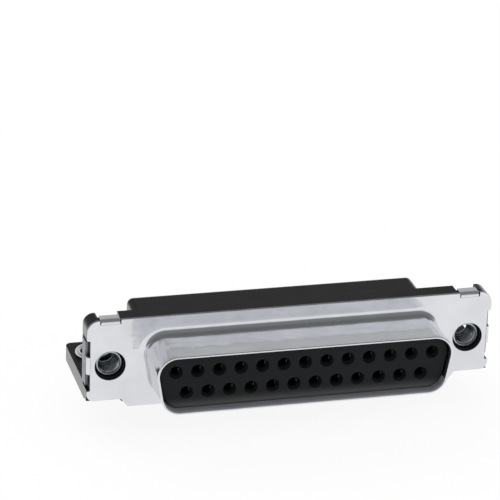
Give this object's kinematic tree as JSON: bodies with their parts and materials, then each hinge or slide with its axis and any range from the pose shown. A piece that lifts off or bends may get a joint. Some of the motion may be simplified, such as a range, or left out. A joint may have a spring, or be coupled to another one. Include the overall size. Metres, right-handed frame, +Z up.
{
  "type": "right-angle d-sub receptacle connector",
  "caption": "Right-angle board-mounted D-sub receptacle: plated D shell, black insert and comb housing, bent tails, board locks, threaded side inserts.",
  "frame": {"origin": "centre of the D opening, on the front face of the metal flange", "axes": "+X right seen from the mating side, +Y rearward along the contacts, +Z up, away from the board"},
  "size_m": [0.053, 0.0216, 0.0159],
  "materials": {
    "shell_plate": "bright tin plate, soft reflections",
    "insert_plastic": "satin glass-filled plastic",
    "housing_plastic": "satin glass-filled plastic",
    "contact_metal": "tinned tails, gold-flashed beams",
    "zinc_insert": "blue-grey zinc plate",
    "eyelet_plate": "tin plate",
    "lock_plate": "tin plate"
  },
  "bodies": {
    "root": {"front_shell": "shell_plate", "front_insulator": "insert_plastic", "rear_housing": "housing_plastic", "contact_01": "contact_metal", "contact_02": "contact_metal", "contact_03": "contact_metal", "contact_04": "contact_metal", "contact_05": "contact_metal", "contact_06": "contact_metal", "contact_07": "contact_metal", "contact_08": "contact_metal", "contact_09": "contact_metal", "contact_10": "contact_metal", "contact_11": "contact_metal", "contact_12": "contact_metal", "contact_13": "contact_metal", "contact_14": "contact_metal", "contact_15": "contact_metal", "contact_16": "contact_metal", "contact_17": "contact_metal", "contact_18": "contact_metal", "contact_19": "contact_metal", "contact_20": "contact_metal", "contact_21": "contact_metal", "contact_22": "contact_metal", "contact_23": "contact_metal", "contact_24": "contact_metal", "contact_25": "contact_metal", "threaded_insert_left": "zinc_insert", "eyelet_left": "eyelet_plate", "board_lock_left": "lock_plate", "threaded_insert_right": "zinc_insert", "eyelet_right": "eyelet_plate", "board_lock_right": "lock_plate"}
  },
  "joints": []
}
